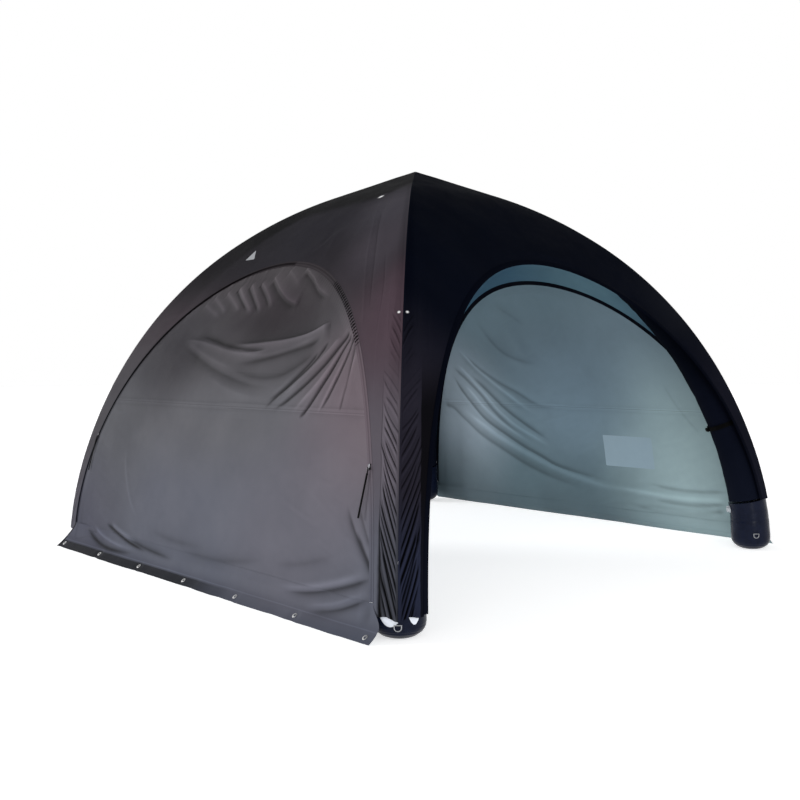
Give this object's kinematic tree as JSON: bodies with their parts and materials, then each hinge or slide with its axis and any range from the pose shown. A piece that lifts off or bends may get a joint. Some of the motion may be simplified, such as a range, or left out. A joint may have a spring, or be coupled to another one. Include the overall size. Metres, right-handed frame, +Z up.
{
  "type": "inflatable event tent",
  "caption": "Square dome tent on inflated corner beams that meet at a crown, with zipped fabric walls on two opposite sides and arched open entrances on the others.",
  "frame": {"origin": "on the ground, under the crown, at the bottom centre of the bounding box", "axes": "+Z up; the closed walls face -Y and +Y, the open entrances face +X and -X"},
  "size_m": [4.581, 4.8156, 3.3004],
  "materials": {
    "sleeve": "matte navy-black polyester sleeve over an air tube",
    "boot": "glossy black coated fabric",
    "roof": "near-black woven polyester with a soft sheen",
    "wall": "dark grey woven polyester",
    "flap": "dark grey woven polyester, hemmed",
    "zip_tape": "black woven tape",
    "zip_slider": "black lacquered metal",
    "webbing": "black woven webbing",
    "ring": "zinc-plated steel",
    "eyelet": "nickel-plated",
    "valve": "pale grey moulded plastic",
    "valve_pin": "black moulded plastic"
  },
  "bodies": {
    "tent": {"air_beam_back": "sleeve", "air_beam_front": "sleeve", "air_beam_left": "sleeve", "air_beam_right": "sleeve", "arch_trim_left": "zip_tape", "arch_trim_right": "zip_tape", "arch_zip_back": "zip_tape", "arch_zip_front": "zip_tape", "boot_back": "boot", "boot_front": "boot", "boot_left": "boot", "boot_right": "boot", "crown_hub": "sleeve", "eyelet_1": "eyelet", "eyelet_2": "eyelet", "eyelet_3": "eyelet", "eyelet_4": "eyelet", "eyelet_5": "eyelet", "eyelet_6": "eyelet", "eyelet_7": "eyelet", "ground_flap_back": "flap", "ground_flap_front": "flap", "roof_gore_back": "roof", "roof_gore_front": "roof", "roof_gore_left": "roof", "roof_gore_right": "roof", "tie_band_back": "webbing", "tie_band_front": "webbing", "tie_band_left": "webbing", "tie_band_right": "webbing", "valve_housing_back": "valve", "valve_housing_front": "valve", "valve_housing_left": "valve", "valve_housing_right": "valve", "wall_back": "wall", "wall_front": "wall"},
    "zip_slider_front_a": {"zip_slider_front_a": "zip_slider"},
    "zip_pull_front_a": {"zip_pull_front_a": "webbing"},
    "zip_slider_front_b": {"zip_slider_front_b": "zip_slider"},
    "zip_pull_front_b": {"zip_pull_front_b": "webbing"},
    "zip_slider_back_a": {"zip_slider_back_a": "zip_slider"},
    "zip_pull_back_a": {"zip_pull_back_a": "webbing"},
    "zip_slider_back_b": {"zip_slider_back_b": "zip_slider"},
    "zip_pull_back_b": {"zip_pull_back_b": "webbing"},
    "tie_ring_front": {"tie_ring_front": "ring"},
    "tie_ring_right": {"tie_ring_right": "ring"},
    "tie_ring_back": {"tie_ring_back": "ring"},
    "tie_ring_left": {"tie_ring_left": "ring"},
    "valve_cap_front": {"valve_cap_front": "valve"},
    "valve_pin_front": {"valve_pin_front": "valve_pin"},
    "valve_cap_right": {"valve_cap_right": "valve"},
    "valve_pin_right": {"valve_pin_right": "valve_pin"},
    "valve_cap_back": {"valve_cap_back": "valve"},
    "valve_pin_back": {"valve_pin_back": "valve_pin"},
    "valve_cap_left": {"valve_cap_left": "valve"},
    "valve_pin_left": {"valve_pin_left": "valve_pin"}
  },
  "joints": [
    {"name": "zip_front_a_slide", "type": "slide", "parent": "tent", "child": "zip_slider_front_a", "axis": [0.3438, 0.2477, 0.9058], "range_m": [-0.2, 0.2]},
    {"name": "zip_front_a_pull", "type": "hinge", "parent": "zip_slider_front_a", "child": "zip_pull_front_a", "pos_m": [-1.87905, -2.15874, 1.00052], "axis": [-1, 0, 0], "range_deg": [0, 150]},
    {"name": "zip_front_b_slide", "type": "slide", "parent": "tent", "child": "zip_slider_front_b", "axis": [-0.3438, 0.2477, 0.9058], "range_m": [-0.2, 0.2]},
    {"name": "zip_front_b_pull", "type": "hinge", "parent": "zip_slider_front_b", "child": "zip_pull_front_b", "pos_m": [1.87905, -2.15874, 1.00052], "axis": [-1, 0, 0], "range_deg": [0, 150]},
    {"name": "zip_back_a_slide", "type": "slide", "parent": "tent", "child": "zip_slider_back_a", "axis": [-0.3438, -0.2477, 0.9058], "range_m": [-0.2, 0.2]},
    {"name": "zip_back_a_pull", "type": "hinge", "parent": "zip_slider_back_a", "child": "zip_pull_back_a", "pos_m": [1.87905, 2.15874, 1.00052], "axis": [1, 0, 0], "range_deg": [0, 150]},
    {"name": "zip_back_b_slide", "type": "slide", "parent": "tent", "child": "zip_slider_back_b", "axis": [0.3438, -0.2477, 0.9058], "range_m": [-0.2, 0.2]},
    {"name": "zip_back_b_pull", "type": "hinge", "parent": "zip_slider_back_b", "child": "zip_pull_back_b", "pos_m": [-1.87905, 2.15874, 1.00052], "axis": [1, 0, 0], "range_deg": [0, 150]},
    {"name": "tie_ring_front_swing", "type": "hinge", "parent": "tent", "child": "tie_ring_front", "pos_m": [2.23663, -2.23663, 0.104], "axis": [-0.7071, -0.7071, 0], "range_deg": [0, 150]},
    {"name": "tie_ring_right_swing", "type": "hinge", "parent": "tent", "child": "tie_ring_right", "pos_m": [2.2349, 1.98612, 0.15], "axis": [-0.7071, -0.7071, 0], "range_deg": [0, 150]},
    {"name": "tie_ring_back_swing", "type": "hinge", "parent": "tent", "child": "tie_ring_back", "pos_m": [-2.23663, 2.23663, 0.104], "axis": [0.7071, 0.7071, 0], "range_deg": [0, 150]},
    {"name": "tie_ring_left_swing", "type": "hinge", "parent": "tent", "child": "tie_ring_left", "pos_m": [-2.2349, -1.98612, 0.15], "axis": [0.7071, 0.7071, 0], "range_deg": [0, 150]},
    {"name": "valve_cap_front_hinge", "type": "hinge", "parent": "tent", "child": "valve_cap_front", "pos_m": [1.96479, -1.96479, 0.36479], "axis": [0.7071, 0.7071, 0], "range_deg": [0, 150]},
    {"name": "valve_pin_front_push", "type": "slide", "parent": "tent", "child": "valve_pin_front", "axis": [0.6996, -0.6996, 0.1452], "range_m": [0, 0.005], "stiffness_N_per_m": 100},
    {"name": "valve_cap_right_hinge", "type": "hinge", "parent": "tent", "child": "valve_cap_right", "pos_m": [1.96479, 1.96479, 0.36479], "axis": [-0.7071, 0.7071, 0], "range_deg": [0, 150]},
    {"name": "valve_pin_right_push", "type": "slide", "parent": "tent", "child": "valve_pin_right", "axis": [0.6996, 0.6996, 0.1452], "range_m": [0, 0.005], "stiffness_N_per_m": 100},
    {"name": "valve_cap_back_hinge", "type": "hinge", "parent": "tent", "child": "valve_cap_back", "pos_m": [-1.96479, 1.96479, 0.36479], "axis": [-0.7071, -0.7071, 0], "range_deg": [0, 150]},
    {"name": "valve_pin_back_push", "type": "slide", "parent": "tent", "child": "valve_pin_back", "axis": [-0.6996, 0.6996, 0.1452], "range_m": [0, 0.005], "stiffness_N_per_m": 100},
    {"name": "valve_cap_left_hinge", "type": "hinge", "parent": "tent", "child": "valve_cap_left", "pos_m": [-1.96479, -1.96479, 0.36479], "axis": [0.7071, -0.7071, 0], "range_deg": [0, 150]},
    {"name": "valve_pin_left_push", "type": "slide", "parent": "tent", "child": "valve_pin_left", "axis": [-0.6996, -0.6996, 0.1452], "range_m": [0, 0.005], "stiffness_N_per_m": 100}
  ]
}
